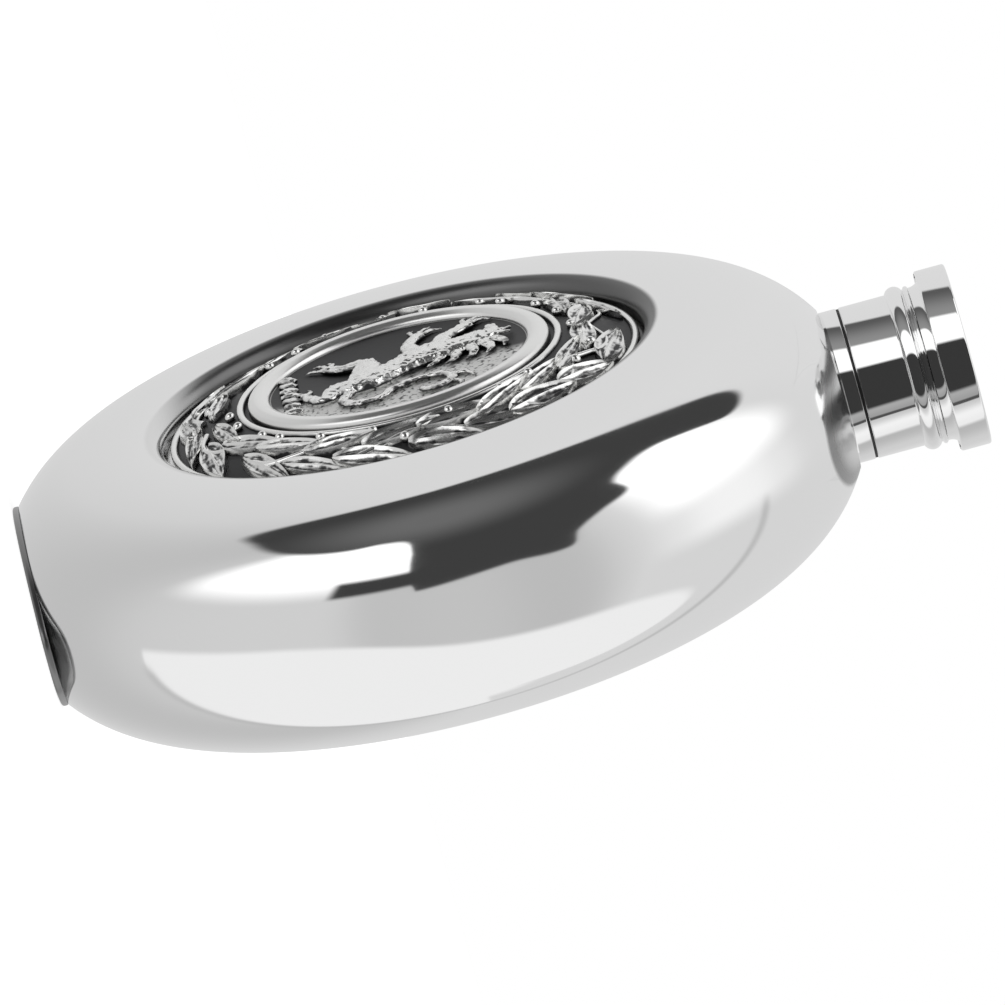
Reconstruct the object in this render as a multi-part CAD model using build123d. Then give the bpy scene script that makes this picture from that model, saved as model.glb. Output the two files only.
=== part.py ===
"""Round hip flask: two welded steel shells on a thin oval foot, a short neck with a screw cap, and a domed badge.

The flask stands on its foot. +Z is up along the cap's axis, the badge faces -Y, and the origin is the middle of the
foot's underside. All sizes are millimetres.
"""

from build123d import *
from math import sqrt
import os

# --- body: a disc turned about the front-to-back axis -------------------------------------------------------------
BODY_RADIUS = 50.4  # the round outline
RIM_ROUND = 14.6  # the belly's arc in section, at the rim
CROWN_ROUND = 36.6  # the flatter arc between the belly and the crest of each face
SHEET = 0.8  # steel sheet of both shells
FOOT_FLAT = 4.3  # how far in from the rim the bottom is cut flat
NECK_FLAT = 2.6  # how far in from the rim the top is pressed flat

# --- recess in the front face, with its badge ---------------------------------------------------------------------
BADGE_RADIUS = 27.6
BADGE_GAP = 0.7  # between the badge and the recess's wall
RECESS_ROLL = 2.0  # the crest rolls into the recess on this radius
RECESS_FLOOR = 3.4  # depth of the recess's floor below the crest
RECESS_CORNER = 0.6  # inside corner between the recess's wall and floor
BADGE_EDGE = 1.0  # height of the badge's edge
BADGE_RISE = 2.95  # from the edge to the field in the middle
BADGE_WALL = 1.5  # metal over the badge's hollow back
BADGE_LAND = 3.6  # width of the flat ring that it is glued on
BEAD_RADIUS = 18.7  # middle of the fine bead around the ring
BEAD_ROUND = 0.4
RING_RADIUS = 16.4  # middle of the broad polished ring
RING_WIDTH = 2.6
RING_RISE = 0.8  # ring's crest above the field
PAD_THICKNESS = 0.15
PAD_INSET = 0.3  # the adhesive stops short of the badge's edge

# --- foot ---------------------------------------------------------------------------------------------------------
FOOT_THICKNESS = 0.8
FOOT_END_LIP = 2.6  # the foot stands out this far past the body's flat at its two ends
FOOT_SIDE_LIP = 0.1  # and this far at its front and back
FOOT_CORNER = 5.0  # round of the oval's ends
FOOT_EDGE = 0.3  # round of the lip's edges

# --- neck ---------------------------------------------------------------------------------------------------------
BORE_RADIUS = 5.0
SPOUT_WALL = 1.4
SPOUT_BELOW = 2.0  # the spout reaches this far into the body
SPOUT_ABOVE = 11.3  # and this far above the seat
SPOUT_LIP = 0.35  # round of the mouth that one drinks from
COLLAR_HEIGHT = 2.05
COLLAR_EDGE = 0.12
GASKET_THICKNESS = 0.3
GASKET_INSET = 0.12  # the gasket stops short of the collar's outside

# --- thread between spout and cap ---------------------------------------------------------------------------------
PITCH = 2.0
THREAD_DEPTH = 0.65
THREAD_ROOT = 1.35  # width of the ridge at its sunk root
THREAD_CREST = 0.7  # width of the ridge's top
THREAD_TURNS = 2.5  # on the spout
LINER_TURNS = 2.0  # in the cap
THREAD_GAP = 0.15  # radial clearance between each ridge's top and the other wall
THREAD_START = 2.0  # from the gasket's top to the middle of the spout's first turn
THREAD_SINK = 0.25  # how deep each ridge is rooted in its wall

# --- cap ----------------------------------------------------------------------------------------------------------
CAP_WALL = 0.8  # the skirt, outside the liner
CAP_TOP = 1.6  # from the liner's top to the cap's top
CAP_BEAD_HEIGHT = 2.1
CAP_BEAD_RISE = 0.71
CAP_RING_HEIGHT = 0.55
CAP_RING_RISE = 0.4
CAP_GROOVE = 0.12  # width and rise of the plain strips beside the fine ring
FLARE_HEIGHT = 1.0  # from the fine ring to the flange's corner
FLANGE_RISE = 1.73
FLANGE_HEIGHT = 3.6
FLANGE_EDGE = 0.3
CAP_TOP_DISH = 0.25  # depth of the turned panel in the cap's top
CAP_TOP_BORDER = 1.6  # width of the flat border around that panel
WASHER_THICKNESS = 1.4
WASHER_GAP = 0.2  # between the washer and the liner around it
LINER_WALL = 0.87
LINER_TOP = 1.0
LINER_LIFT = 0.6  # the liner starts this far above the skirt's edge

# --- places that follow from the sizes above ----------------------------------------------------------------------
FOOT_CUT = BODY_RADIUS - FOOT_FLAT
NECK_CUT = BODY_RADIUS - NECK_FLAT
DISC_Z = FOOT_THICKNESS + FOOT_CUT
SEAT_Z = DISC_Z + NECK_CUT
GASKET_Z = SEAT_Z + COLLAR_HEIGHT
CAP_Z = GASKET_Z + GASKET_THICKNESS
SPOUT_TOP = SEAT_Z + SPOUT_ABOVE
WASHER_TOP = SPOUT_TOP + WASHER_THICKNESS
LINER_TOP_Z = WASHER_TOP + LINER_TOP

SPOUT_RADIUS = BORE_RADIUS + SPOUT_WALL
LINER_BORE = SPOUT_RADIUS + THREAD_DEPTH + THREAD_GAP
LINER_RADIUS = LINER_BORE + LINER_WALL
COLLAR_RADIUS = LINER_RADIUS + CAP_WALL  # the collar and the cap's skirt are flush

RECESS_WALL = BADGE_RADIUS + BADGE_GAP
CREST_RADIUS = RECESS_WALL + RECESS_ROLL  # where each face stops rising
RIM_CENTRE = BODY_RADIUS - RIM_ROUND
CROWN_LEAN = (RIM_CENTRE - CREST_RADIUS) / (CROWN_ROUND - RIM_ROUND)  # cosine of the angle where the arcs meet
CROWN_CENTRE = -(CROWN_ROUND - RIM_ROUND) * sqrt(1 - CROWN_LEAN**2)
CREST = CROWN_CENTRE + CROWN_ROUND  # half the body's thickness, at its crest
FLOOR = CREST - RECESS_FLOOR


def turned(profile):
    """A solid of revolution about the front-to-back axis, from a closed profile drawn as (radius, height)."""
    upright = Plane(origin=(0, 0, 0), x_dir=(1, 0, 0), z_dir=(0, 0, 1))
    return revolve(upright * make_face(profile), Axis.Y)


def lifted(shape, z):
    return Pos(0, 0, z) * shape


def belly(inset):
    """The two arcs of the section from the rim to the crest, moved in by the sheet's thickness or by nothing."""
    rise = sqrt(1 - CROWN_LEAN**2)
    rim_round, crown_round = RIM_ROUND - inset, CROWN_ROUND - inset

    def on_arc(centre_x, centre_y, radius, cosine):
        return (centre_x + radius * cosine, centre_y + radius * sqrt(1 - cosine**2))

    rim = (RIM_CENTRE + rim_round, 0)
    meet = on_arc(RIM_CENTRE, 0, rim_round, CROWN_LEAN)
    crest = (CREST_RADIUS, CREST - inset)
    rim_middle = on_arc(RIM_CENTRE, 0, rim_round, sqrt((1 + CROWN_LEAN) / 2))
    crown_lean = sqrt((1 - rise) / 2)
    crown_middle = on_arc(CREST_RADIUS, CROWN_CENTRE, crown_round, crown_lean)
    return [ThreePointArc(rim, rim_middle, meet), ThreePointArc(meet, crown_middle, crest)]


def half_body(inset, recessed):
    """One half of the body as a full solid, its height measured from the seam between the shells."""
    arcs = belly(inset)
    top = CREST - inset
    rim = RIM_CENTRE + RIM_ROUND - inset
    if not recessed:
        outline = arcs + [Polyline((CREST_RADIUS, top), (0, top), (0, 0), (rim, 0))]
        return turned(outline)
    roll, corner, floor = RECESS_ROLL - inset, RECESS_CORNER + inset, FLOOR - inset
    wall = RECESS_WALL + inset
    slant = 1 - sqrt(0.5)
    outline = arcs + [
        ThreePointArc((CREST_RADIUS, top), (wall + roll * slant, top - roll * slant), (wall, top - roll)),
        Line((wall, top - roll), (wall, floor + corner)),
        ThreePointArc((wall, floor + corner), (wall - corner * slant, floor + corner * slant), (wall - corner, floor)),
        Polyline((wall - corner, floor), (0, floor), (0, 0), (rim, 0)),
    ]
    return turned(outline)


def slab(low, high):
    """Everything between two heights, wide enough for the whole body."""
    span = 4 * BODY_RADIUS
    return lifted(Box(span, span, high - low, align=(Align.CENTER, Align.CENTER, Align.MIN)), low)


def make_shell(recessed):
    """One welded half: outer skin less inner skin, flat under the foot and closed by a flat seat under the neck."""
    outer = lifted(half_body(0, recessed), DISC_Z) & slab(FOOT_THICKNESS, SEAT_Z)
    inner = lifted(half_body(SHEET, recessed), DISC_Z) & slab(0, SEAT_Z - SHEET)
    hole = lifted(Cylinder(SPOUT_RADIUS, 4 * SHEET), SEAT_Z)
    shell = outer - inner - hole
    return mirror(shell, Plane.XZ) if recessed else shell


def make_foot():
    """A thin oval plate: two long arcs, with rounded ends."""
    half_width = sqrt(BODY_RADIUS**2 - FOOT_CUT**2) + FOOT_END_LIP
    half_depth = sqrt(RIM_ROUND**2 - (FOOT_CUT - RIM_CENTRE) ** 2) + FOOT_SIDE_LIP
    end_centre = half_width - FOOT_CORNER
    side_round = (end_centre**2 + half_depth**2 - FOOT_CORNER**2) / (2 * (half_depth - FOOT_CORNER))
    side_centre = side_round - half_depth
    meet = side_round / (side_round - FOOT_CORNER)
    corner_x, corner_y = end_centre * meet, side_centre * (meet - 1)
    sides = [
        ThreePointArc((-corner_x, y), (0, top), (corner_x, y))
        for y, top in ((corner_y, half_depth), (-corner_y, -half_depth))
    ]
    ends = [
        ThreePointArc((x, -corner_y), (tip, 0), (x, corner_y))
        for x, tip in ((corner_x, half_width), (-corner_x, -half_width))
    ]
    plate = extrude(make_face(sides + ends), FOOT_THICKNESS)
    return fillet(plate.edges().group_by(Axis.Z)[0] + plate.edges().group_by(Axis.Z)[-1], FOOT_EDGE)


def ring(outer, inner, low, high):
    return lifted(extrude(Circle(outer) - Circle(inner), high - low), low)


def thread_ridge(radius, depth, turns, start, inward):
    """A helical ridge, rooted a little in the wall it stands on, that points out of a spout or into a nut."""
    side = -1 if inward else 1
    path = Helix(pitch=PITCH, height=PITCH * turns, radius=radius)
    root, tip = -side * THREAD_SINK, side * depth
    outline = Polyline(
        (root, -THREAD_ROOT / 2), (tip, -THREAD_CREST / 2), (tip, THREAD_CREST / 2), (root, THREAD_ROOT / 2), close=True
    )
    section = Plane(origin=(radius, 0, 0), x_dir=(1, 0, 0), z_dir=(0, -1, 0)) * make_face(outline)
    return lifted(sweep(section, path=path, is_frenet=True), start)


def make_collar():
    collar = ring(COLLAR_RADIUS, SPOUT_RADIUS, SEAT_Z, GASKET_Z)
    top_edge = collar.edges().group_by(Axis.Z)[-1].sort_by(SortBy.LENGTH)[-1]
    return chamfer(top_edge, COLLAR_EDGE)


def make_gasket():
    return ring(COLLAR_RADIUS - GASKET_INSET, SPOUT_RADIUS, GASKET_Z, CAP_Z)


def make_spout():
    """The threaded tube that the collar goes around, with a rounded mouth."""
    tube = ring(SPOUT_RADIUS, BORE_RADIUS, SEAT_Z - SPOUT_BELOW, SPOUT_TOP)
    tube = fillet(tube.edges().group_by(Axis.Z)[-1], SPOUT_LIP)
    return tube + thread_ridge(SPOUT_RADIUS, THREAD_DEPTH, THREAD_TURNS, CAP_Z + THREAD_START, inward=False)


def make_liner():
    """The threaded insert in the cap, closed above the washer. Its ridge runs in the spout's groove."""
    low = CAP_Z + LINER_LIFT
    cup = lifted(Cylinder(LINER_RADIUS, LINER_TOP_Z - low, align=(Align.CENTER, Align.CENTER, Align.MIN)), low)
    cup -= lifted(Cylinder(LINER_BORE, WASHER_TOP - low, align=(Align.CENTER, Align.CENTER, Align.MIN)), low)
    start = CAP_Z + THREAD_START + PITCH / 2
    return cup + thread_ridge(LINER_BORE, THREAD_DEPTH, LINER_TURNS, start, inward=True)


def make_washer():
    return lifted(extrude(Circle(LINER_BORE - WASHER_GAP), WASHER_THICKNESS), SPOUT_TOP)


def make_cap():
    """The turned cap, open below for the liner: plain skirt, round bead, fine ring, flare and wide flange."""
    skirt = COLLAR_RADIUS
    top = LINER_TOP_Z + CAP_TOP
    flange_low = top - FLANGE_HEIGHT
    flare_low = flange_low - FLARE_HEIGHT
    ring_high = flare_low - CAP_GROOVE
    ring_low = ring_high - CAP_RING_HEIGHT
    bead_high = ring_low - CAP_GROOVE
    bead_low = bead_high - CAP_BEAD_HEIGHT
    strip, flange = skirt + CAP_GROOVE, skirt + FLANGE_RISE
    dish = flange - CAP_TOP_BORDER
    ring_tip = (skirt + CAP_RING_RISE, (ring_low + ring_high) / 2)
    flare_middle = (strip + 0.35 * (flange - strip), flare_low + 0.65 * FLARE_HEIGHT)
    outline = [
        Polyline((LINER_RADIUS, LINER_TOP_Z), (LINER_RADIUS, CAP_Z), (skirt, CAP_Z), (skirt, bead_low)),
        ThreePointArc((skirt, bead_low), (skirt + CAP_BEAD_RISE, (bead_low + bead_high) / 2), (strip, bead_high)),
        Line((strip, bead_high), (strip, ring_low)),
        ThreePointArc((strip, ring_low), ring_tip, (strip, ring_high)),
        Line((strip, ring_high), (strip, flare_low)),
        ThreePointArc((strip, flare_low), flare_middle, (flange, flange_low)),
        Polyline((flange, flange_low), (flange, top), (dish, top), (dish - CAP_TOP_DISH, top - CAP_TOP_DISH)),
        Polyline((dish - CAP_TOP_DISH, top - CAP_TOP_DISH), (0, top - CAP_TOP_DISH), (0, LINER_TOP_Z)),
        Line((0, LINER_TOP_Z), (LINER_RADIUS, LINER_TOP_Z)),
    ]
    cap = revolve(Plane.XZ * make_face(outline), Axis.Z)
    rim = cap.edges().filter_by(GeomType.CIRCLE).group_by(Axis.Z)[-1].sort_by(SortBy.LENGTH)[-1]
    return fillet(rim, FLANGE_EDGE)


def make_badge():
    """A domed casting with a hollow back: low edge, fine bead, broad polished ring and a sunk field."""
    base = FLOOR + PAD_THICKNESS
    edge, field = base + BADGE_EDGE, base + BADGE_EDGE + BADGE_RISE
    ring_in, ring_out = RING_RADIUS - RING_WIDTH / 2, RING_RADIUS + RING_WIDTH / 2
    shoulder = BEAD_RADIUS - BEAD_ROUND
    bulge = 0.62 * BADGE_RISE
    dome_middle = ((BADGE_RADIUS + BEAD_RADIUS) / 2, edge + bulge)
    bead_out, bead_z = BEAD_RADIUS + BEAD_ROUND, field - BEAD_ROUND / 2
    hollow = BADGE_RADIUS - BADGE_LAND
    outline = [
        Polyline((hollow, base), (BADGE_RADIUS, base), (BADGE_RADIUS, edge)),
        ThreePointArc((BADGE_RADIUS, edge), dome_middle, (bead_out, bead_z)),
        ThreePointArc((bead_out, bead_z), (BEAD_RADIUS, bead_z + BEAD_ROUND), (shoulder, bead_z)),
        Line((shoulder, bead_z), (ring_out, bead_z)),
        ThreePointArc((ring_out, bead_z), (RING_RADIUS, field + RING_RISE), (ring_in, field)),
        Polyline((ring_in, field), (0, field), (0, field - BADGE_WALL), (ring_in, field - BADGE_WALL)),
        ThreePointArc(
            (ring_in, field - BADGE_WALL), ((ring_in + hollow) / 2, field - 1.35 * BADGE_WALL), (hollow, base)
        ),
    ]
    return mirror(lifted(turned(outline), DISC_Z), Plane.XZ)


def make_pad():
    base = FLOOR
    outer, inner = BADGE_RADIUS - PAD_INSET, BADGE_RADIUS - BADGE_LAND + PAD_INSET
    outline = Polyline(
        (inner, base), (outer, base), (outer, base + PAD_THICKNESS), (inner, base + PAD_THICKNESS), close=True
    )
    return mirror(lifted(turned(outline), DISC_Z), Plane.XZ)


def main():
    parts = {
        "front_shell": make_shell(recessed=True),
        "back_shell": make_shell(recessed=False),
        "foot_plate": make_foot(),
        "neck_collar": make_collar(),
        "neck_gasket": make_gasket(),
        "neck_spout": make_spout(),
        "cap_shell": make_cap(),
        "cap_liner": make_liner(),
        "cap_washer": make_washer(),
        "badge": make_badge(),
        "badge_pad": make_pad(),
    }
    os.makedirs("parts", exist_ok=True)
    for node, shape in parts.items():
        export_step(shape, f"parts/{node}.step")
        size = shape.bounding_box().size
        print(f"{node:12s} {shape.volume:9.1f} mm3   {size.X:6.2f} x {size.Y:6.2f} x {size.Z:6.2f} mm")


main()
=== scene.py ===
# %% [markdown]
# # A round steel hip flask with a cast badge
# The flask is two drawn steel shells, welded and polished until the seam is gone, on a thin oval foot. A threaded
# spout with a plain collar carries a turned screw cap, and a cast pewter badge sits in a round recess in front.
# Everything is in metres and stands in the frame of the CAD model: +Z up the neck, the badge towards -Y.

# %% Start from the fixed frame
import random
from math import acos, asin, atan2, cos, degrees, exp, hypot, pi, radians, sin, sqrt

import bmesh
import bpy
from mathutils import Matrix, Vector


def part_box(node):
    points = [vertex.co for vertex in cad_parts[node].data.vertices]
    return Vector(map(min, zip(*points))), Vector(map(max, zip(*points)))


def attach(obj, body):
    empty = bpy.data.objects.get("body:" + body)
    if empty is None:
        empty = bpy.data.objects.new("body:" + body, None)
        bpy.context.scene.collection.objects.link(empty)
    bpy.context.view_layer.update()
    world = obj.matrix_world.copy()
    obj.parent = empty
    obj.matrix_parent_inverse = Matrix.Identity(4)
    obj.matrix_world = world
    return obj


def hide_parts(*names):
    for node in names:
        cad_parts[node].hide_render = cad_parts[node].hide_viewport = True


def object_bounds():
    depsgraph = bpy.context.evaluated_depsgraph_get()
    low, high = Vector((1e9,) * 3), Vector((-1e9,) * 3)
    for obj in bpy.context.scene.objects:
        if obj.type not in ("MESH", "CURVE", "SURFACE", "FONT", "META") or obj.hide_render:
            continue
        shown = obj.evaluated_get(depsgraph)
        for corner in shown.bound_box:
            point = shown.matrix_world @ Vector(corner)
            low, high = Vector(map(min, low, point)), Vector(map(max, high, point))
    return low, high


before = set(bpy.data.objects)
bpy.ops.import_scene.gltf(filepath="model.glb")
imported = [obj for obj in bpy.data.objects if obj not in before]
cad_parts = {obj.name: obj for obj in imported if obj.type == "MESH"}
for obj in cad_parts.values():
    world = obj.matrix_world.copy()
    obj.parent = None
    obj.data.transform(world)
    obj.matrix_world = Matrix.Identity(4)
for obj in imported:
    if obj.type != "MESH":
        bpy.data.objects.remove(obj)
cad_low, cad_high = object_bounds()
MM = 0.001
print("CAD box", [round(v / MM, 2) for v in (*cad_low, *cad_high)], "mm")

# %% [markdown]
# ## Sizes
# Places come from the boxes of the CAD nodes. The rounds of the body's section are not in any box, so they are
# named here, in metres like everything else.

# %% Sizes read from the frame
shell_low, shell_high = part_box("back_shell")
badge_low, badge_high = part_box("badge")
foot_low, foot_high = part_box("foot_plate")
collar_low, collar_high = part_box("neck_collar")
cap_low, cap_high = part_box("cap_shell")
_, liner_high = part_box("cap_liner")

body_radius = shell_high.x
crest_height = shell_high.y
foot_cut, seat = shell_low.z, shell_high.z
badge_radius = badge_high.x
disc_z = (badge_low.z + badge_high.z) / 2
badge_back, badge_front = -badge_high.y, -badge_low.y
collar_radius, flange_radius, liner_radius = collar_high.x, cap_high.x, liner_high.x
spout_radius = 6.4 * MM

rim_round, crown_round = 14.6 * MM, 36.6 * MM
recess_roll, recess_depth, recess_corner, badge_gap = 2.0 * MM, 3.4 * MM, 0.6 * MM, 0.7 * MM
crest_radius = badge_radius + badge_gap + recess_roll
sheet = 0.8 * MM
print("body radius", body_radius / MM, "disc centre", disc_z / MM, "crest", crest_height / MM)

# %% [markdown]
# ## Small helpers
# Each one does what a person would do by hand: draw an outline by extruding a point, weld what lands on top of each
# other, turn the faces outwards, and pick edges by where they are.

# %% Helpers for drawing
def arc(centre, radius, start, end, steps):
    """Points on an arc, angles in degrees, both ends included."""
    turns = [radians(start + (end - start) * i / steps) for i in range(steps + 1)]
    return [(centre[0] + radius * cos(t), centre[1] + radius * sin(t)) for t in turns]


def only(obj):
    """Selects one object and nothing else."""
    bpy.ops.object.select_all(action="DESELECT")
    obj.select_set(True)
    bpy.context.view_layer.objects.active = obj


def edit(obj):
    """Enters edit mode on one object, with nothing else selected."""
    if bpy.context.mode != "OBJECT":
        bpy.ops.object.mode_set(mode="OBJECT")
    only(obj)
    bpy.ops.object.mode_set(mode="EDIT")
    bpy.ops.mesh.select_mode(type="VERT")


def done():
    bpy.ops.object.mode_set(mode="OBJECT")


def weld(distance=0.002 * MM):
    """In edit mode, merges points that land on top of each other."""
    bpy.ops.mesh.select_all(action="SELECT")
    bpy.ops.mesh.remove_doubles(threshold=distance)


def face_outwards():
    bpy.ops.mesh.select_all(action="SELECT")
    bpy.ops.mesh.normals_make_consistent(inside=False)


def pick_edges(obj, test):
    """In edit mode, selects the edges for which test says yes."""
    bpy.ops.mesh.select_mode(type="EDGE")
    bpy.ops.mesh.select_all(action="DESELECT")
    mesh = bmesh.from_edit_mesh(obj.data)
    for edge in mesh.edges:
        if test(edge):
            edge.select_set(True)
    mesh.select_flush_mode()
    bmesh.update_edit_mesh(obj.data)


def draw(name, outline, place):
    """A chain of edges: one point, extruded along the outline. place turns an outline point into a 3-D point."""
    bpy.ops.object.select_all(action="DESELECT")
    bpy.ops.mesh.primitive_plane_add(size=MM, location=(0, 0, 0))
    obj = bpy.context.object
    obj.name = obj.data.name = name
    edit(obj)
    bpy.ops.mesh.select_all(action="SELECT")
    bpy.ops.mesh.merge(type="CENTER")
    points = [Vector(place(*p)) for p in outline]
    bpy.ops.transform.translate(value=points[0])
    for here, there in zip(points, points[1:]):
        bpy.ops.mesh.extrude_region_move(TRANSFORM_OT_translate={"value": there - here})
    return obj


print("drawing helpers ready")

# %% [markdown]
# ## Turning on the lathe
# A lathe outline is one half of the section. Spinning it a full turn leaves a seam where start and end meet, and
# points that lie on the axis land on top of each other, so doubles are merged, edges left on the axis are deleted,
# and only then are the normals recalculated.

# %% Lathe
def lathe(name, outline, axis, centre=(0, 0, 0), steps=192):
    """A solid turned from an outline of (radius, height along the axis). A closed outline repeats its first point."""
    along_y = axis == "Y"

    def place(radius, height):
        spot = (radius, -height, 0) if along_y else (radius, 0, height)
        return Vector(centre) + Vector(spot)

    obj = draw(name, outline, place)
    bpy.ops.mesh.select_all(action="SELECT")
    bpy.ops.mesh.spin(steps=steps, angle=2 * pi, center=centre, axis=(0, 1, 0) if along_y else (0, 0, 1))
    weld()
    bpy.ops.mesh.select_all(action="SELECT")
    bpy.ops.mesh.delete_loose(use_verts=True, use_edges=True, use_faces=False)
    face_outwards()
    done()
    return obj


print("lathe ready")

# %% [markdown]
# ## Finishing a piece
# Shading is smoothed up to an angle, so that true edges stay crisp. A modifier is added, set and baked in one go. The
# last step for every piece says what it is made of, which body it rides on and which CAD nodes it stands for.

# %% Finishing helpers
def smooth(obj, angle=30):
    only(obj)
    bpy.ops.object.shade_smooth_by_angle(angle=radians(angle))


def apply(obj, kind, **settings):
    """Adds a modifier, sets it and bakes it into the mesh."""
    only(obj)
    modifier = obj.modifiers.new(kind.title(), kind)
    for key, value in settings.items():
        setattr(modifier, key, value)
    bpy.ops.object.modifier_apply(modifier=modifier.name)


def drop(obj):
    bpy.data.objects.remove(obj, do_unlink=True)


def finished(obj, material, body, slot, *nodes):
    """The last step for every piece: its finish, the body it rides on, and what it stands for. The slot argument is
    not used.
    """
    obj.data.materials.clear()
    obj.data.materials.append(material)
    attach(obj, body)
    if nodes:
        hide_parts(*nodes)
    print(f"{obj.name}: {len(obj.data.polygons)} faces")


def copy_of_node(node, name):
    """A CAD node's triangles, merged into one surface that can be shaded smoothly."""
    obj = bpy.data.objects.new(name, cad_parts[node].data.copy())
    bpy.context.collection.objects.link(obj)
    edit(obj)
    weld(0.001 * MM)
    done()
    return obj


print("finishing helpers ready,", len(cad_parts), "CAD nodes in the frame")


# %% [markdown]
# ## The studio
# Polished steel has no colour of its own: it shows the room. So the room is drawn first, by direction: a pale table
# and pale walls, a dark ceiling, and bright soft boxes that cut into the ceiling. "Up" in this studio is -Y, because
# the flask is lit as it lies on its back, badge up. A world shader does it without a single lamp, and every view of
# the flask finds the same room around it.

# %% Shader node helpers
def plug(tree, value, socket):
    """Links a node's output to a socket, or sets the socket to a plain value."""
    if isinstance(value, bpy.types.NodeSocket):
        tree.links.new(value, socket)
    else:
        socket.default_value = value


def node(tree, kind, **inputs):
    """Adds a shader node. Keyword names are attributes, or inputs where they start with in_ and a number."""
    made = tree.nodes.new(kind)
    for key, value in inputs.items():
        if key.startswith("in_"):
            plug(tree, value, made.inputs[int(key[3:])])
        else:
            setattr(made, key, value)
    return made


def maths(tree, operation, *values):
    made = node(tree, "ShaderNodeMath", operation=operation)
    for value, socket in zip(values, made.inputs):
        plug(tree, value, socket)
    return made.outputs[0]


def product(tree, *values):
    total = values[0]
    for value in values[1:]:
        total = maths(tree, "MULTIPLY", total, value)
    return total


def largest(tree, *values):
    total = values[0]
    for value in values[1:]:
        total = maths(tree, "MAXIMUM", total, value)
    return total


def square(tree, value):
    return maths(tree, "MULTIPLY", value, value)


def step_up(tree, value, low, high, bottom=0.0, top=1.0):
    """A soft step: bottom under low, top over high."""
    ends = {"in_0": value, "in_1": low, "in_2": high, "in_3": bottom, "in_4": top}
    return node(tree, "ShaderNodeMapRange", interpolation_type="SMOOTHSTEP", **ends).outputs[0]


def blend_in(tree, amount, under, over):
    """under where amount is 0, over where it is 1."""
    return node(tree, "ShaderNodeMix", data_type="FLOAT", in_0=amount, in_2=under, in_3=over).outputs[0]


def skyline(tree, bearing, points):
    """An elevation for each bearing, both in degrees, as a smooth curve through given points."""
    share = maths(tree, "DIVIDE", maths(tree, "ADD", bearing, 180.0), 360.0)
    curve = node(tree, "ShaderNodeFloatCurve", in_1=share)
    line = curve.mapping.curves[0]
    places = [((b + 180) / 360, (e + 90) / 180) for b, e in points]
    line.points[0].location, line.points[-1].location = places[0], places[-1]
    for place in places[1:-1]:
        line.points.new(*place)
    for point in line.points:
        point.handle_type = "AUTO_CLAMPED"
    curve.mapping.update()
    return maths(tree, "SUBTRACT", maths(tree, "MULTIPLY", curve.outputs[0], 180.0), 90.0)


def window(tree, bearing, height, left, right, low, high, soft):
    """1 inside a soft-edged window between two bearings and two elevations."""
    from_left = step_up(tree, bearing, left - soft, left + soft)
    to_right = step_up(tree, bearing, right + soft, right - soft)
    from_low = step_up(tree, height, low - soft, low + soft)
    to_high = step_up(tree, height, high + soft, high - soft)
    return product(tree, from_left, to_right, from_low, to_high)


def noise(tree, place, scale, detail):
    made = node(tree, "ShaderNodeTexNoise", in_0=place)
    made.inputs["Scale"].default_value, made.inputs["Detail"].default_value = scale, detail
    return made.outputs[0]


def about_badge(tree, place):
    """x, y and z of a place, its height over the badge's centre, and its distance from the badge's axis."""
    x, y, z = node(tree, "ShaderNodeSeparateXYZ", in_0=place).outputs
    v = maths(tree, "SUBTRACT", z, disc_z)
    return x, y, z, v, maths(tree, "SQRT", maths(tree, "ADD", square(tree, x), square(tree, v)))


print("shader helpers ready")


# %% [markdown]
# ## Lines of the studio
# Each direction gets a bearing round the flask and a height over the horizon, in degrees. Two curves, one for the
# ceiling's edge and one for the table's, and a third for the tone of the walls, are drawn over the bearing.

# %% Bearings, heights and the studio's lines
world = bpy.data.worlds.new("studio")
bpy.context.scene.world = world
world.use_nodes = True
room = world.node_tree
room.nodes.clear()
ray = node(room, "ShaderNodeSeparateXYZ", in_0=node(room, "ShaderNodeTexCoord").outputs["Generated"])
towards_x, towards_y, towards_z = ray.outputs
to_degrees = 180 / pi
bearing = maths(room, "MULTIPLY", maths(room, "ARCTAN2", towards_z, towards_x), to_degrees)
up = maths(room, "MULTIPLY", towards_y, -1.0)
height = maths(room, "MULTIPLY", maths(room, "ARCSINE", up), to_degrees)

TABLE, FLOOR_BEYOND, TABLE_EDGE, CEILING, ZENITH, SOFT_BOX = 0.90, 0.70, 0.52, 0.05, 0.15, 1.25
ceiling_line = skyline(
    room,
    bearing,
    [(-180, 57), (-150, 57), (-128, 62), (-100, 66), (-60, 71), (-40, 74), (-22, 72), (-14, 60), (-11, 27),
     (14, 29), (32, 24), (38, 34), (50, 41), (64, 45), (72, 55), (90, 58), (106, 55), (114, 38), (122, 36),
     (148, 50), (180, 57)],
)
table_line = skyline(
    room,
    bearing,
    [(-180, -2), (-88, -2), (-47, -4), (10, -34), (57, -42), (80, -50), (95, -70), (112, -84), (180, -84)],
)
wall_tone = skyline(
    room,
    bearing,
    [(-180, 72), (-140, 57), (-120, 55), (-85, 64), (-40, 66), (-20, 56), (0, 57), (25, 53), (45, 66), (60, 82),
     (80, 96), (100, 84), (118, 72), (140, 74), (160, 74), (180, 72)],
)
print("studio lines drawn")

# %% [markdown]
# ## Table, boxes and ceiling
# The light is built up like a painting: walls first, then the table, its edge, the soft boxes, and the ceiling last.
# The pattern is shaped until the polished body shows calm bright areas between dark ones. The camera itself
# sees plain white, so what it sees behind the flask is not what the steel reflects.

# %% Light by direction
light = maths(room, "DIVIDE", wall_tone, 100.0)
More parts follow.
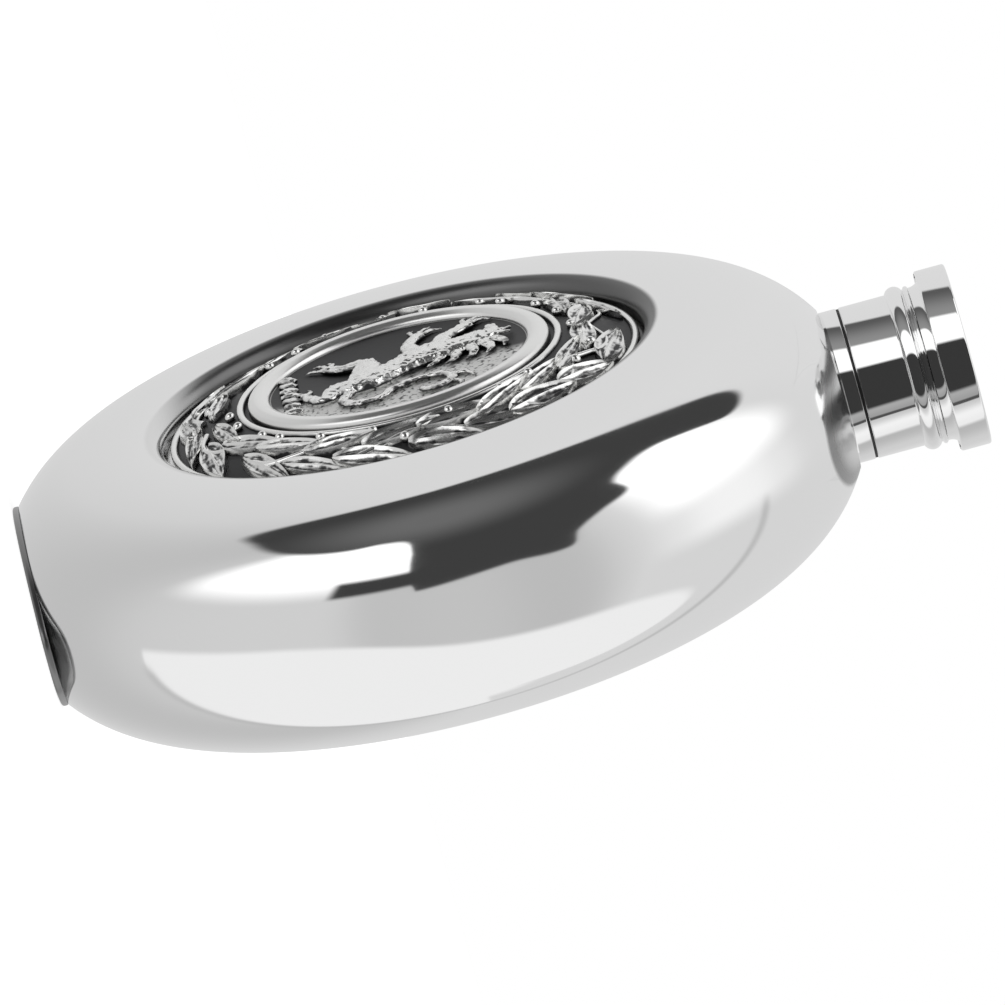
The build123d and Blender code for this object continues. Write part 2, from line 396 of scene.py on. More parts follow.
# looking down, the table is seen as a plan: its far edge is a thin bowed line, and the floor behind it is darker
down = maths(room, "MAXIMUM", maths(room, "MULTIPLY", up, -1.0), 0.001)
plan_x, plan_z = maths(room, "DIVIDE", towards_x, down), maths(room, "DIVIDE", towards_z, down)
bow = maths(room, "DIVIDE", -0.20, maths(room, "ADD", maths(room, "MULTIPLY", square(room, plan_z), 4.0), 1.0))
from_edge = maths(room, "SUBTRACT", plan_x, maths(room, "SUBTRACT", bow, 0.07))
light = blend_in(room, step_up(room, height, -6.0, -22.0), light, maths(room, "MINIMUM", light, FLOOR_BEYOND))
over_line = maths(room, "SUBTRACT", height, table_line)
on_table = product(room, step_up(room, over_line, 3.0, -3.0), step_up(room, from_edge, -0.01, 0.01))
light = blend_in(room, on_table, light, TABLE)
edge_width = maths(room, "ADD", maths(room, "MULTIPLY", maths(room, "ABSOLUTE", plan_z), 0.04), 0.03)
at_edge = step_up(room, maths(room, "ABSOLUTE", from_edge), edge_width, 0.0)
at_edge = maths(room, "MULTIPLY", at_edge, step_up(room, height, -8.0, -20.0))
light = blend_in(room, at_edge, light, TABLE_EDGE)
left_box = window(room, bearing, height, -92, -8, 40, 85, 9)
light = blend_in(room, left_box, light, SOFT_BOX)
right_box = window(room, bearing, height, 60, 112, 16, 85, 9)
light = blend_in(room, right_box, light, SOFT_BOX)
ceiling = step_up(room, height, 62.0, 86.0, CEILING, ZENITH)
above = step_up(room, maths(room, "SUBTRACT", height, ceiling_line), -1.5, 1.5)
light = blend_in(room, above, light, ceiling)
bridge = window(room, bearing, height, -37, -11, 33, 45, 2)
light = blend_in(room, bridge, light, CEILING)

# the sky behind the flask, which only the camera sees, is plain white
to_camera = node(room, "ShaderNodeLightPath").outputs["Is Camera Ray"]
light = blend_in(room, to_camera, light, 1.0)
background = node(room, "ShaderNodeBackground", in_0=light, in_1=1.0)
node(room, "ShaderNodeOutputWorld", in_0=background.outputs[0])
print("studio:", len(room.nodes), "nodes")

# %% [markdown]
# ## Floor
# The flask stands on a pale floor that glows a little, so that it meets the white behind it. Reflections do not see
# the floor: they see the studio's table instead. It is staged, which keeps it out of the part.

# %% Plain white floor
bpy.ops.object.select_all(action="DESELECT")
bpy.ops.mesh.primitive_plane_add(size=8.0, location=(0, 0, cad_low.z - 0.02 * MM))
floor = bpy.context.object
floor.name = "floor"
floor_paint = bpy.data.materials.new("floor_paint")
floor_paint.use_nodes = True
paint = floor_paint.node_tree.nodes["Principled BSDF"]
paint.inputs["Base Color"].default_value = (0.35, 0.35, 0.35, 1)
paint.inputs["Roughness"].default_value = 0.9
paint.inputs["Emission Color"].default_value = (1, 1, 1, 1)
paint.inputs["Emission Strength"].default_value = 0.82
floor.data.materials.append(floor_paint)
floor.visible_glossy = False
print("floor at", round(floor.location.z / MM, 2), "mm")

# %% [markdown]
# ## Card round the cap
# A small round cap reflects so much of the room at once that it needs strips of its own, as a watch or a ring does. A
# curled card, banded dark and light by bearing, stands round it. Only reflections see it, and only from inside. It is
# staged, and it stays where it is when the cap rises.

# %% Curled card round the cap
card_bearing = [
    (-180, 0.74), (-89, 0.74), (-85, 0.10), (-57, 0.28), (-54, 1.15), (-33, 1.15), (-30, 0.04), (9, 0.04),
    (13, 0.42), (20, 0.36), (21.5, 0.08), (23.5, 0.08), (24.5, 0.62), (36, 0.95), (46, 0.9), (52, 0.5),
    (80, 0.66), (110, 0.74), (180, 0.74),
]
CARD_LOW, CARD_SIDES, CARD_HIGH = seat + 0.05 * MM, 116 * MM, 150 * MM
bpy.ops.object.select_all(action="DESELECT")
bpy.ops.mesh.primitive_cone_add(
    vertices=96,
    radius1=12.5 * MM,
    radius2=29 * MM,
    depth=CARD_HIGH - CARD_LOW,
    end_fill_type="NOTHING",
    location=(0, 0, (CARD_LOW + CARD_HIGH) / 2),
)
card = bpy.context.object
card.name = "card"
card_paint = bpy.data.materials.new("card_paint")
card_paint.use_nodes = True
tree = card_paint.node_tree
tree.nodes.clear()
spot = node(tree, "ShaderNodeSeparateXYZ", in_0=node(tree, "ShaderNodeTexCoord").outputs["Object"])
turned = maths(tree, "MULTIPLY", maths(tree, "ARCTAN2", spot.outputs[1], spot.outputs[0]), to_degrees)
value = card_bearing[0][1]
for (b0, v0), (b1, v1) in zip(card_bearing, card_bearing[1:]):
    if v0 != v1:
        value = blend_in(tree, step_up(tree, turned, float(b0), float(b1)), value, v1)
glow = node(tree, "ShaderNodeEmission", in_0=value, in_1=1.0)
clear = node(tree, "ShaderNodeBsdfTransparent")
inside = node(tree, "ShaderNodeNewGeometry").outputs["Backfacing"]
card_cut = CARD_SIDES - (CARD_LOW + CARD_HIGH) / 2
low_part = step_up(tree, spot.outputs[2], card_cut + 0.5 * MM, card_cut - 0.5 * MM)
front_part = maths(tree, "MULTIPLY", step_up(tree, turned, -34.0, -30.0), step_up(tree, turned, 44.0, 38.0))
inside = maths(tree, "MULTIPLY", inside, maths(tree, "MAXIMUM", low_part, front_part))
banded = node(tree, "ShaderNodeMixShader", in_0=inside, in_1=clear.outputs[0], in_2=glow.outputs[0])
node(tree, "ShaderNodeOutputMaterial", in_0=banded.outputs[0])
card.data.materials.append(card_paint)
card.visible_camera = card.visible_diffuse = card.visible_shadow = card.visible_transmission = False
print("card with", len(card_bearing), "tones")

# %% [markdown]
# ## Camera
# The camera stands far away with a long lens, so the flask is nearly without perspective. It looks at the flask's
# side, a little from the badge's side, and is rolled so that the neck points right and up.

# %% Camera
CAMERA_DISTANCE = 2.0
side_tilt, roll = radians(17.6), radians(15.25)
back = Vector((cos(side_tilt), -sin(side_tilt), 0))
flask_up, badge_up = Vector((0, 0, 1)), Vector((-sin(side_tilt), -cos(side_tilt), 0))
camera_right = cos(roll) * flask_up - sin(roll) * badge_up
camera_up = sin(roll) * flask_up + cos(roll) * badge_up
aim = Vector((0, 0, 50 * MM)) + 4.82 * MM * camera_right - 1.26 * MM * camera_up
camera_data = bpy.data.cameras.new("camera")
camera = bpy.data.objects.new("camera", camera_data)
bpy.context.collection.objects.link(camera)
camera.matrix_world = Matrix.Translation(aim + back * CAMERA_DISTANCE) @ Matrix(
    (camera_right, camera_up, back)
).transposed().to_4x4()
VIEW_WIDTH = 114.68 * MM
camera_data.sensor_width = 36.0
camera_data.lens = camera_data.sensor_width * CAMERA_DISTANCE / VIEW_WIDTH
camera_data.clip_start, camera_data.clip_end = 0.05, 20.0
bpy.context.scene.camera = camera
bpy.context.scene.view_settings.view_transform = "Standard"
print("lens", round(camera_data.lens, 1), "mm")

# %% [markdown]
# ## Finishes
# The steel is a plain metal with a very low roughness and a haze of hair-thin polishing marks, which only shows where
# a soft box is reflected. Four places get a finish of their own. The recess, the foot and a ring round the neck are
# painted darker, as a stand-in for dark things that they would reflect, so they stay dark in any light. The flat back
# is a little greyer and scuffed, which is a guess.

# %% A metal to start from
def new_material(name, colour, metallic, roughness):
    material = bpy.data.materials.new(name)
    material.use_nodes = True
    shader = material.node_tree.nodes["Principled BSDF"]
    shader.inputs["Base Color"].default_value = (*colour, 1)
    shader.inputs["Metallic"].default_value = metallic
    shader.inputs["Roughness"].default_value = roughness
    return material, material.node_tree, shader


print("materials start from a principled shader")

# %% [markdown]
# ## Where the steel is darker
# Each mask is 1 where the painted dark reflection goes and 0 elsewhere, found from the place on the flask in its own
# frame.

# %% Masks on the steel
steel, tree, shader = new_material("polished_steel", (0.93, 0.93, 0.93), 1.0, 0.06)
coordinates = node(tree, "ShaderNodeTexCoord")
place = coordinates.outputs["Object"]
x, y, z, v, out = about_badge(tree, place)
# the recess and the foot get a darker steel, a painted stand-in for the dark things that they reflect
in_recess = product(
    tree,
    step_up(tree, out, crest_radius + 0.15 * MM, crest_radius - 0.55 * MM),
    step_up(tree, y, 0.0, -1.0 * MM),
    step_up(tree, v, -29.0 * MM, -21.0 * MM, 0.15, 1.0),
)
facing_up = node(tree, "ShaderNodeSeparateXYZ", in_0=coordinates.outputs["Normal"]).outputs[2]
under_body = step_up(tree, z, foot_cut + 0.2 * MM, foot_cut + 0.1 * MM)
on_foot = maths(tree, "MULTIPLY", step_up(tree, facing_up, 0.5, 0.8), under_body)
edge_of_foot = step_up(tree, z, foot_cut, foot_cut - 0.05 * MM)
# the same stand-in round the neck: a darker oval, centred on the neck
from_seat = maths(tree, "DIVIDE", maths(tree, "SUBTRACT", z, seat + 0.3 * MM), 3.7 * MM)
from_middle = maths(tree, "DIVIDE", y, 8.0 * MM)
oval = maths(tree, "ADD", square(tree, from_seat), square(tree, from_middle))
by_neck = product(
    tree,
    step_up(tree, oval, 1.05, 0.8),
    step_up(tree, z, seat + 0.05 * MM, seat),
    step_up(tree, oval, 0.1, 0.6, 0.45, 1.0),
)
# the four masks together: where the steel gets its painted dark reflection
painted_reflection = largest(
    tree,
    in_recess,
    maths(tree, "MULTIPLY", on_foot, 0.72),
    maths(tree, "MULTIPLY", by_neck, 0.82),
    maths(tree, "MULTIPLY", edge_of_foot, 0.9),
)
print("masks: recess, foot, foot edge, neck")

# %% [markdown]
# ## Colour and gloss of the steel
# The masks only blend between two greys and two roughnesses. Colour and gloss change together: where the darker grey
# paints a reflection, the steel is made rougher too.

# %% Polished steel
BRIGHT_GREY, PAINTED_REFLECTION_GREY, PAINTED_REFLECTION_ROUGHNESS, BACK_ROUGHNESS = 0.93, 0.17, 0.32, 0.09
# how the flat back looks is a guess: a little greyer and finely scuffed, as if it has lain on tables
on_back = step_up(tree, y, crest_height - 1.6 * MM, crest_height - 0.02 * MM)
scuffs = step_up(tree, noise(tree, place, 22, 8), 0.35, 0.65, 0.56, 0.74)
grey = blend_in(tree, on_back, BRIGHT_GREY, scuffs)
# the darker grey is a painted reflection on the recess, the foot and round the neck
plug(tree, blend_in(tree, painted_reflection, grey, PAINTED_REFLECTION_GREY), shader.inputs["Base Color"])
haze = step_up(tree, noise(tree, place, 60, 4), 0.3, 0.75, 0.045, 0.085)
gloss = maths(tree, "ADD", haze, maths(tree, "MULTIPLY", on_back, BACK_ROUGHNESS))
plug(tree, blend_in(tree, painted_reflection, gloss, PAINTED_REFLECTION_ROUGHNESS), shader.inputs["Roughness"])
print("polished steel:", len(tree.nodes), "nodes")

# %% [markdown]
# ## Moulded finishes
# Rubber, silicone, plastic and glue come out of a mould or a tube. They are never quite even, so one noise moves the
# colour, the gloss and the surface together. Silicone also lets a little light into itself.

# %% Black rubber, white silicone, black plastic and glue
def moulded(name, colour, roughness, scale, depth):
    """A moulded finish: its colour, its gloss and its surface are all a little uneven."""
    material, tree, shader = new_material(name, colour, 0.0, roughness)
    uneven = noise(tree, node(tree, "ShaderNodeTexCoord").outputs["Object"], scale, 5)
    tint = node(tree, "ShaderNodeMix", data_type="RGBA", in_0=uneven)
    tint.inputs[6].default_value = (*(0.75 * c for c in colour), 1)
    tint.inputs[7].default_value = (*(min(1.0, 1.2 * c) for c in colour), 1)
    plug(tree, tint.outputs[2], shader.inputs["Base Color"])
    gloss = step_up(tree, uneven, 0.3, 0.7, roughness * 0.8, min(1.0, roughness * 1.25))
    plug(tree, gloss, shader.inputs["Roughness"])
    bumps = node(tree, "ShaderNodeBump", in_0=0.5, in_1=depth)
    plug(tree, uneven, bumps.inputs["Height"])
    plug(tree, bumps.outputs[0], shader.inputs["Normal"])
    return material, shader


# the gasket's black rubber is a painted shadow of the gap between ring and cap
gap_shadow_rubber, shader = moulded("black_rubber", (0.012, 0.012, 0.012), 0.6, 900, 0.03 * MM)
silicone, shader = moulded("white_silicone", (0.80, 0.80, 0.77), 0.45, 250, 0.02 * MM)
shader.inputs["Subsurface Weight"].default_value = 0.25
shader.inputs["Subsurface Radius"].default_value = (1.0 * MM, 1.0 * MM, 1.0 * MM)
plastic, shader = moulded("black_plastic", (0.02, 0.02, 0.022), 0.35, 700, 0.02 * MM)
adhesive, shader = moulded("adhesive", (0.55, 0.50, 0.38), 0.4, 350, 0.04 * MM)
print("moulded finishes:", gap_shadow_rubber.name, silicone.name, plastic.name, adhesive.name)

# %% [markdown]
# ## Ground of the relief
# Cast pewter is blackened and then rubbed, so it is bright on what stands up and black in the hollows. The hollows
# are found by height over the ground of the relief, so that ground is worked out first: a flat field, and a dome
# outside it.

# %% Heights of the badge
plate_edge = badge_back + 1.0 * MM
field_height = plate_edge + 2.95 * MM
ring_in, ring_out, bead_middle, bead_size, rim_size = 15.1 * MM, 17.7 * MM, 18.7 * MM, 0.45 * MM, 0.45 * MM


def circle_through(a, b, c):
    """Centre and radius of the circle through three points."""
    (ax, ay), (bx, by), (cx, cy) = a, b, c
    d = 2 * (ax * (by - cy) + bx * (cy - ay) + cx * (ay - by))
    sa, sb, sc = ax * ax + ay * ay, bx * bx + by * by, cx * cx + cy * cy
    x = (sa * (by - cy) + sb * (cy - ay) + sc * (ay - by)) / d
    y = (sa * (cx - bx) + sb * (ax - cx) + sc * (bx - ax)) / d
    return (x, y), hypot(ax - x, ay - y)


dome_low = (badge_radius - 2 * rim_size, plate_edge + 0.2 * MM)
dome_high = (bead_middle + bead_size, field_height - 0.3 * MM)
dome_centre, dome_round = circle_through(dome_low, (23.15 * MM, plate_edge + 1.7 * MM), dome_high)


def ground(radius):
    """Height of the relief's ground over the middle plane, at a distance from the badge's centre."""
    if radius < ring_in:
        return field_height
    return dome_centre[1] + sqrt(dome_round**2 - (radius - dome_centre[0]) ** 2)


print("dome radius", round(dome_round / MM, 1), "mm")

# %% [markdown]
# ## Where the pewter is rubbed, and where light is painted on it
# Height over the ground decides, with noise to make the edge ragged. Leaves and beast carry their own wear instead,
# and the beast's wear also holds a painted highlight on its up-facing slopes. The broad ring, the bead and the rim
# are polished whatever their height, and on one side the stippled field is painted bright, a painted highlight.

# %% Rubbed places and painted light on the pewter
pewter, tree, shader = new_material("pewter", (0.9, 0.9, 0.9), 1.0, 0.22)
place = node(tree, "ShaderNodeTexCoord").outputs["Object"]
x, y, z, v, out = about_badge(tree, place)
height_here = maths(tree, "MULTIPLY", y, -1.0)
off_axis = maths(tree, "SUBTRACT", out, dome_centre[0])
over_centre = maths(tree, "SQRT", maths(tree, "SUBTRACT", dome_round**2, square(tree, off_axis)))
dome_here = maths(tree, "ADD", over_centre, dome_centre[1])
in_wreath = step_up(tree, out, bead_middle, bead_middle + 0.1 * MM)
ground_here = blend_in(tree, in_wreath, field_height, dome_here)
over = maths(tree, "SUBTRACT", height_here, ground_here)
grain, coarse = noise(tree, place, 900, 5), noise(tree, place, 260, 3)
ragged = maths(tree, "MULTIPLY", maths(tree, "SUBTRACT", coarse, 0.5), 0.5 * MM)
rubbed_and_painted_light = step_up(tree, maths(tree, "ADD", over, ragged), 0.10 * MM, 0.42 * MM)
# leaves and beast carry their own wear, painted on their ridges when they are made; the beast's also holds a painted
# highlight on up-facing slopes and painted shade on its sides
wear_and_shade = node(tree, "ShaderNodeAttribute", attribute_name="wear_and_shade").outputs["Fac"]
patchy = maths(tree, "ADD", wear_and_shade, maths(tree, "MULTIPLY", maths(tree, "SUBTRACT", coarse, 0.5), 0.7))
patchy = maths(tree, "ADD", patchy, maths(tree, "MULTIPLY", maths(tree, "SUBTRACT", grain, 0.5), 1.5))
rubbed_and_painted_light = blend_in(tree, step_up(tree, wear_and_shade, 0.0, 0.02), rubbed_and_painted_light, step_up(tree, patchy, 0.25, 0.75))
# the broad ring, the bead and the rim are polished whatever their height, but the groove between them is not
on_ring = product(
    tree,
    step_up(tree, out, ring_in - 0.1 * MM, ring_in + 0.05 * MM),
    step_up(tree, out, ring_out + 0.06 * MM, ring_out - 0.02 * MM),
)
on_bead = product(
    tree,
    step_up(tree, out, bead_middle - 0.42 * MM, bead_middle - 0.3 * MM),
    step_up(tree, out, bead_middle + 0.42 * MM, bead_middle + 0.3 * MM),
)
on_rim = step_up(tree, out, badge_radius - 1.9 * rim_size, badge_radius - 1.6 * rim_size)
rubbed_and_painted_light = largest(tree, rubbed_and_painted_light, on_ring, on_bead, on_rim)
# the whole field is stippled with a punch; on one side the stipple is painted bright, a painted highlight of light
# caught by the punch marks
stipple = node(tree, "ShaderNodeTexVoronoi", in_0=place)
stipple.inputs["Scale"].default_value = 1900
in_field = step_up(tree, out, ring_in, ring_in - 0.6 * MM)
painted_lit_side = step_up(tree, maths(tree, "ADD", x, maths(tree, "MULTIPLY", ragged, 10.0)), 1.0 * MM, 4.5 * MM)
stipple_painted_lit = product(tree, in_field, painted_lit_side, step_up(tree, stipple.outputs[0], 0.92, 0.52))
on_ground = step_up(tree, over, 0.25 * MM, 0.1 * MM)
# the stipple's painted highlight joins the bright places
rubbed_and_painted_light = maths(tree, "MAXIMUM", rubbed_and_painted_light, maths(tree, "MULTIPLY", stipple_painted_lit, on_ground))
print("rubbed places found")

# %% [markdown]
# ## Colour, gloss and grain of the pewter
# Black and bright are blended by the mask. A fine bump gives the cast grain, and a second one the punch marks.

# %% Pewter
# bright where rubbed, and where light is painted: the beast's up-facing slopes and one side of the stippled field
metal = node(tree, "ShaderNodeMix", data_type="RGBA", in_0=rubbed_and_painted_light)
metal.inputs[6].default_value, metal.inputs[7].default_value = (0.07, 0.07, 0.072, 1), (0.95, 0.95, 0.94, 1)
plug(tree, metal.outputs[2], shader.inputs["Base Color"])
gloss = blend_in(tree, maths(tree, "MULTIPLY", stipple_painted_lit, on_ground), blend_in(tree, rubbed_and_painted_light, 0.5, 0.2), 0.6)
plug(tree, blend_in(tree, on_ring, gloss, 0.28), shader.inputs["Roughness"])
fine = node(tree, "ShaderNodeBump", in_0=0.35, in_1=0.06 * MM)
polish = maths(tree, "SUBTRACT", 1.0, largest(tree, on_ring, on_rim, maths(tree, "MULTIPLY", in_field, 0.6)))
plug(tree, maths(tree, "MULTIPLY", grain, polish), fine.inputs["Height"])
dots = node(tree, "ShaderNodeBump", in_0=0.15, in_1=0.05 * MM)
plug(tree, maths(tree, "MULTIPLY", stipple.outputs[0], in_field), dots.inputs["Height"])
plug(tree, fine.outputs[0], dots.inputs["Normal"])
plug(tree, dots.outputs[0], shader.inputs["Normal"])
print("pewter:", len(tree.nodes), "nodes")

# %% [markdown]
# ## Body
# The section of the body is drawn once, from the rim over the belly to the crest and down into the recess, and spun
# about the axis that runs through the badge. Two cuts make it a flask: a flat for the foot and a flat for the neck.

# %% Section of the body
rim_centre = body_radius - rim_round
lean = (rim_centre - crest_radius) / (crown_round - rim_round)
crown_centre = crest_height - crown_round
meet_angle = degrees(acos(lean))


def belly(inset, rim_steps, crown_steps):
    """The section from the rim to the crest, as (radius, height over the middle)."""
    rim = arc((rim_centre, 0), rim_round - inset, 0, meet_angle, rim_steps)
    crown = arc((crest_radius, crown_centre), crown_round - inset, meet_angle, 90, crown_steps)
    return rim + crown[1:]


def recess(inset, steps):
    """From the crest over the roll, down the wall and along the floor to the axis."""
    floor_height = crest_height - recess_depth - inset
    wall = badge_radius + badge_gap + inset
    corner = recess_corner + inset
    roll_down = arc((crest_radius, crest_height - recess_roll), recess_roll - inset, 90, 180, steps)
    turn_in = arc((wall - corner, floor_height + corner), corner, 0, -90, max(4, steps // 2))
    return roll_down[1:] + turn_in + [(0.0, floor_height)]


def body_section(inset, fine):
    front = belly(inset, fine, fine // 3) + recess(inset, fine // 2)
    back = belly(inset, fine, fine // 3) + [(0.0, crest_height - inset)]
    return [(r, h) for r, h in reversed(front)] + [(r, -h) for r, h in back[1:]]


print("crown meets rim at", round(meet_angle, 1), "degrees")

# %% [markdown]
# ## Skins of the body
# The outer and the inner skin are turned from the same section, one a sheet's thickness inside the other. Both are
# cut flat for the foot and the neck, the inner one is taken out of the outer, and a hole is made for the spout. The
# two shells of the flask are welded and polished, so one smooth piece stands for both.

# %% Turn the two skins and cut them
def skin(name, inset, fine, steps, low, high):
    obj = lathe(name, body_section(inset, fine), "Y", (0, 0, disc_z), steps)
    edit(obj)
    for height, keeps_above in ((low, True), (high, False)):
        bpy.ops.mesh.select_all(action="SELECT")
        bpy.ops.mesh.bisect(
            plane_co=(0, 0, height),
            plane_no=(0, 0, 1),
            use_fill=True,
            clear_inner=keeps_above,
            clear_outer=not keeps_above,
            threshold=0.001 * MM,
        )
    face_outwards()
    done()
    return obj


body = skin("flask_body", 0, 42, 288, foot_cut, seat)
cavity = skin("cavity", sheet, 12, 96, foot_cut + sheet, seat - sheet)
bpy.ops.object.select_all(action="DESELECT")
bpy.ops.mesh.primitive_cylinder_add(vertices=96, radius=spout_radius, depth=6 * MM, location=(0, 0, seat))
hole = bpy.context.object
apply(body, "BOOLEAN", operation="DIFFERENCE", object=cavity, solver="EXACT")
apply(body, "BOOLEAN", operation="DIFFERENCE", object=hole, solver="EXACT")
drop(cavity)
drop(hole)
smooth(body, 14)
finished(body, steel, "flask", "polished_steel", "front_shell", "back_shell")

# %% [markdown]
# ## Foot
# The foot is a stamped plate: two long arcs that meet in rounded ends, with a soft edge all round.

# %% Oval foot plate
foot_half_width, foot_half_depth, foot_corner = foot_high.x, foot_high.y, 5.0 * MM
end_centre = foot_half_width - foot_corner
side_round = (end_centre**2 + foot_half_depth**2 - foot_corner**2) / (2 * (foot_half_depth - foot_corner))
side_centre = side_round - foot_half_depth
turn = degrees(atan2(end_centre, side_centre))
quarter = arc((0, -side_centre), side_round, 90, 90 - turn, 40)
quarter += arc((end_centre, 0), foot_corner, 90 - turn, 0, 14)[1:]
outline = quarter + [(x, -y) for x, y in reversed(quarter[:-1])]
outline = outline + [(-x, y) for x, y in reversed(outline[1:-1])] + [quarter[0]]
foot = draw("foot", outline, lambda x, y: (x, y, foot_low.z))
weld()
bpy.ops.mesh.select_all(action="SELECT")
bpy.ops.mesh.edge_face_add()
bpy.ops.mesh.extrude_region_move(TRANSFORM_OT_translate={"value": (0, 0, foot_high.z - foot_low.z)})
face_outwards()
LEVEL = 1e-7
pick_edges(foot, lambda edge: abs(edge.verts[0].co.z - edge.verts[1].co.z) < LEVEL)
bpy.ops.mesh.bevel(offset=0.3 * MM, segments=4, profile=0.5, affect="EDGES")
done()
smooth(foot, 40)
finished(foot, steel, "flask", "polished_steel", "foot_plate")

# %% [markdown]
# ## Neck and cap
# These are lathe work in steel, so they are turned here too: a ring, a gasket that is set back a hair, whose black is
# a painted shadow of the gap under the cap, and the cap with its bead, fine ring, flare and flange.

# %% Rounded corners
def rounded(*points, steps=4):
    """An outline with its corners rounded: each point is (radius, height, corner), corner 0 leaves it sharp."""
    count, outline = len(points), []
    for i, (r, h, corner) in enumerate(points):
        here = Vector((r, h))
        if not corner:
            outline.append((r, h))
            continue
        before, after = Vector(points[i - 1][:2]), Vector(points[(i + 1) % count][:2])
        into, out = (before - here).normalized(), (after - here).normalized()
        half = into.angle(out) / 2
        reach, radius = corner, corner * sin(half) / cos(half)
        middle = here + (into + out).normalized() * sqrt(reach**2 + radius**2)
        start, end = here + into * reach - middle, here + out * reach - middle
        sweep = start.angle_signed(end)
        for k in range(steps + 1):
            turned = Matrix.Rotation(-sweep * k / steps, 2) @ start
            outline.append(tuple(middle + turned))
    return outline + [outline[0]]


print("outline corners can be rounded")

# %% [markdown]
# ## Ring and gasket under the cap
# The ring sits on the flat of the body, and a thin black gasket lies between it and the cap; its black is a painted
# shadow of the gap there.

# %% Neck ring and gasket
gasket_top = collar_high.z + 0.3 * MM
collar = lathe(
    "neck_ring",
    rounded(
        (spout_radius, collar_low.z, 0),
        (collar_radius, collar_low.z, 0.05 * MM),
        (collar_radius, collar_high.z, 0.12 * MM),
        (spout_radius, collar_high.z, 0),
    ),
    "Z",
)
smooth(collar, 30)
finished(collar, steel, "flask", "polished_steel", "neck_collar")
# the gasket's black is a painted shadow: it fills the dark gap under the cap
gasket = lathe(
    "neck_seal",
    rounded(
        (spout_radius, collar_high.z, 0),
        (collar_radius - 0.12 * MM, collar_high.z, 0),
        (collar_radius - 0.12 * MM, gasket_top, 0.05 * MM),
        (spout_radius, gasket_top, 0),
    ),
    "Z",
)
smooth(gasket, 30)
finished(gasket, gap_shadow_rubber, "flask", "black_rubber", "neck_gasket")

# %% [markdown]
# ## Cap
# The cap is drawn from its open end up: a plain skirt, a half-round bead, a fine ring, a flare and a flange with a
# dished top. Inside it stays open for the threaded insert.

# %% Cap
skirt, bead_tip, ring_tip = liner_radius + 0.8 * MM, 9.58 * MM, 9.27 * MM
strip = skirt + 0.12 * MM
cap_bottom, cap_top = cap_low.z, cap_high.z
bead = (cap_bottom + 5.46 * MM, cap_bottom + 7.56 * MM)
fine_ring = (cap_bottom + 7.68 * MM, cap_bottom + 8.23 * MM)
flare_low, flange_low = cap_top - 4.6 * MM, cap_top - 3.6 * MM


def bulge(low, high, foot_radius, tip_radius, steps):
    """A half-round band between two heights."""
    rise, half = tip_radius - foot_radius, (high - low) / 2
    radius = (rise**2 + half**2) / (2 * rise)
    reach = degrees(asin(min(1.0, half / radius)))
    return arc((tip_radius - radius, (low + high) / 2), radius, -reach, reach, steps)


outline = (
    [(liner_radius, cap_bottom), (skirt - 0.1 * MM, cap_bottom), (skirt, cap_bottom + 0.1 * MM)]
    + bulge(*bead, skirt, bead_tip, 16)
    + [(strip, bead[1] + 0.02 * MM)]
    + bulge(*fine_ring, strip, ring_tip, 8)
    + arc((flange_radius, flare_low), flange_radius - strip, 180, 92, 10)
    + arc((flange_radius - 0.3 * MM, flange_low + 0.3 * MM), 0.3 * MM, -80, 0, 5)
    + arc((flange_radius - 0.3 * MM, cap_top - 0.3 * MM), 0.3 * MM, 0, 90, 5)
    + [(9.05 * MM, cap_top), (9.0 * MM, cap_top - 0.05 * MM)]
    + [(8.8 * MM, cap_top - 0.25 * MM), (0, cap_top - 0.25 * MM)]
    + [(0, cap_top - 1.6 * MM), (liner_radius, cap_top - 1.6 * MM), (liner_radius, cap_bottom)]
)
cap = lathe("screw_cap", outline, "Z")
smooth(cap, 25)
finished(cap, steel, "cap", "polished_steel", "cap_shell")

# %% [markdown]
# ## Badge
# The plate is turned: a dome with a rolled rim, a milled bead, a groove, a broad polished ring and a sunk field.
# On it sits the relief: a wreath of long leaves with berries, and in the field a rampant beast over a twisted bar.

# %% Plate of the badge
outline = (
    [(0, badge_back), (badge_radius - 0.1 * MM, badge_back), (badge_radius, badge_back + 0.1 * MM)]
    + arc((badge_radius - rim_size, plate_edge + 0.15 * MM), rim_size, 0, 180, 14)
    + arc(
        dome_centre,
        dome_round,
        degrees(atan2(dome_low[1] - dome_centre[1], dome_low[0] - dome_centre[0])),
        degrees(atan2(dome_high[1] - dome_centre[1], dome_high[0] - dome_centre[0])),
        24,
    )
    + arc((bead_middle, field_height - 0.25 * MM), bead_size, 0, 180, 12)
    + [(bead_middle - bead_size, field_height - 0.5 * MM), (ring_out + 0.05 * MM, field_height - 0.5 * MM)]
)
crest = badge_front + 0.2 * MM
# the ring is crowned: two quick rounds at its sides and a slow one between them
outline += arc((ring_out - 0.7 * MM, crest - 0.95 * MM), 0.7 * MM, 8, 68, 8)
outline += arc(((ring_in + ring_out) / 2, crest - 1.75 * MM), 1.75 * MM, 68, 112, 10)[1:-1]
outline += arc((ring_in + 0.7 * MM, crest - 0.95 * MM), 0.7 * MM, 112, 172, 8)
outline += [(ring_in, field_height + 0.05 * MM), (ring_in - 0.15 * MM, field_height)]
outline += [(0, field_height), (0, badge_back)]
plate = lathe("badge_plate", outline, "Y", (0, 0, disc_z), 288)
smooth(plate, 35)
finished(plate, pewter, "flask", "pewter", "badge")


# %% [markdown]
# ## Laying relief on the badge
# Every piece of relief is made flat, lying at the origin with its height along Z. Laying it turns and moves it on the
# badge and lifts each point by the height of the ground under it, so it follows the dome.

